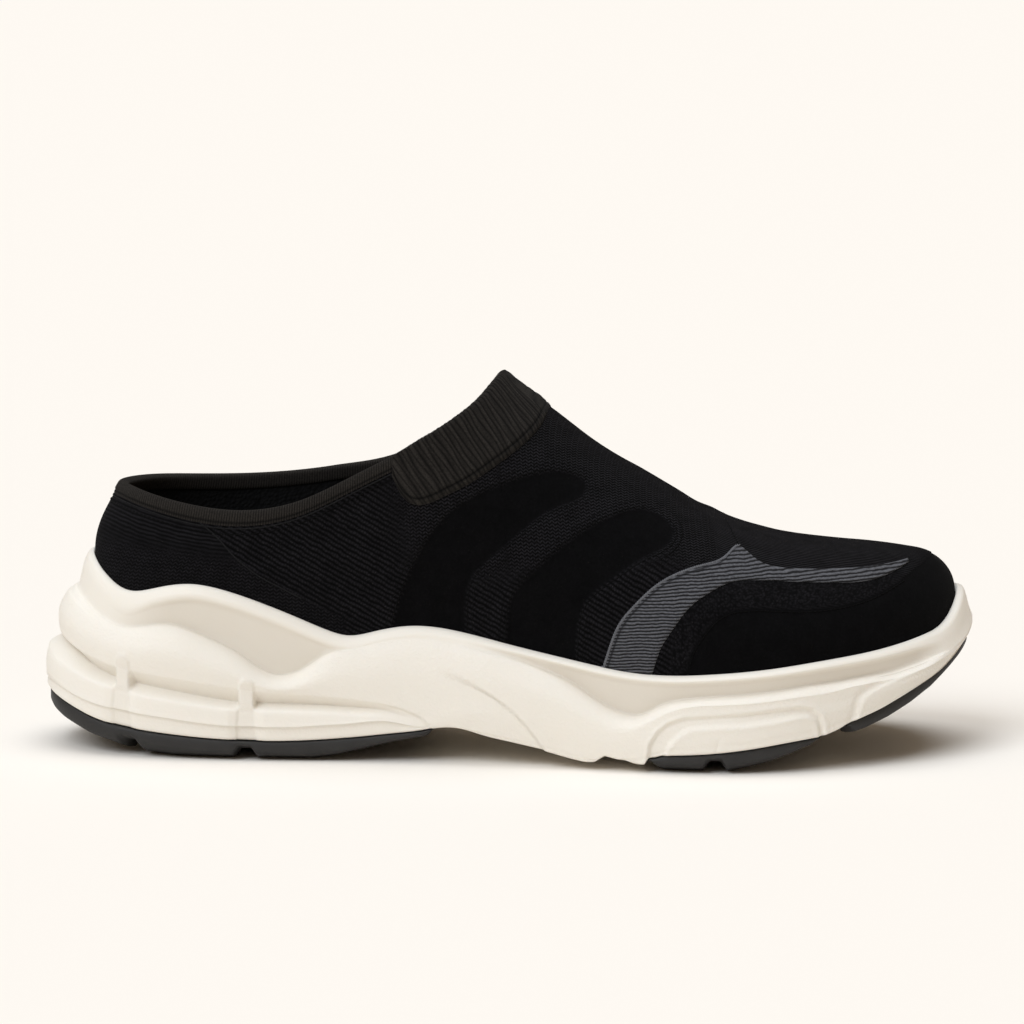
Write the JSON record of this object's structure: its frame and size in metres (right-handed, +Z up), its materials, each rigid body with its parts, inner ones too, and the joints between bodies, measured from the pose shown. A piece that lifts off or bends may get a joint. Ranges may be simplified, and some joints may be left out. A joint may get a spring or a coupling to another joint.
{
  "type": "slip-on shoe",
  "caption": "Knit slip-on shoe for the right foot, with a low open collar and a ribbed cuff over the instep, on a tall sculpted foam midsole with rubber pads.",
  "frame": {"origin": "middle of the shoe's box in plan, on the floor that the sole stands on", "axes": "+X from the heel to the toe, +Y to the inner (medial) side, +Z up"},
  "size_m": [0.3, 0.1062, 0.1216],
  "materials": {
    "midsole_foam": "matte cream moulded foam",
    "outsole_rubber": "matte dark grey rubber",
    "insole_fabric": "fine black cloth",
    "upper_knit": "black knit",
    "ribbed_knit": "black ribbed elastic knit",
    "accent_knit": "grey striped knit"
  },
  "bodies": {
    "root": {"midsole": "midsole_foam", "outsole_heel": "outsole_rubber", "outsole_forefoot": "outsole_rubber", "outsole_toe": "outsole_rubber", "insole": "insole_fabric", "upper": "upper_knit", "collar_binding": "ribbed_knit", "cuff": "ribbed_knit", "accent_lateral": "accent_knit", "accent_medial": "accent_knit"}
  },
  "joints": []
}
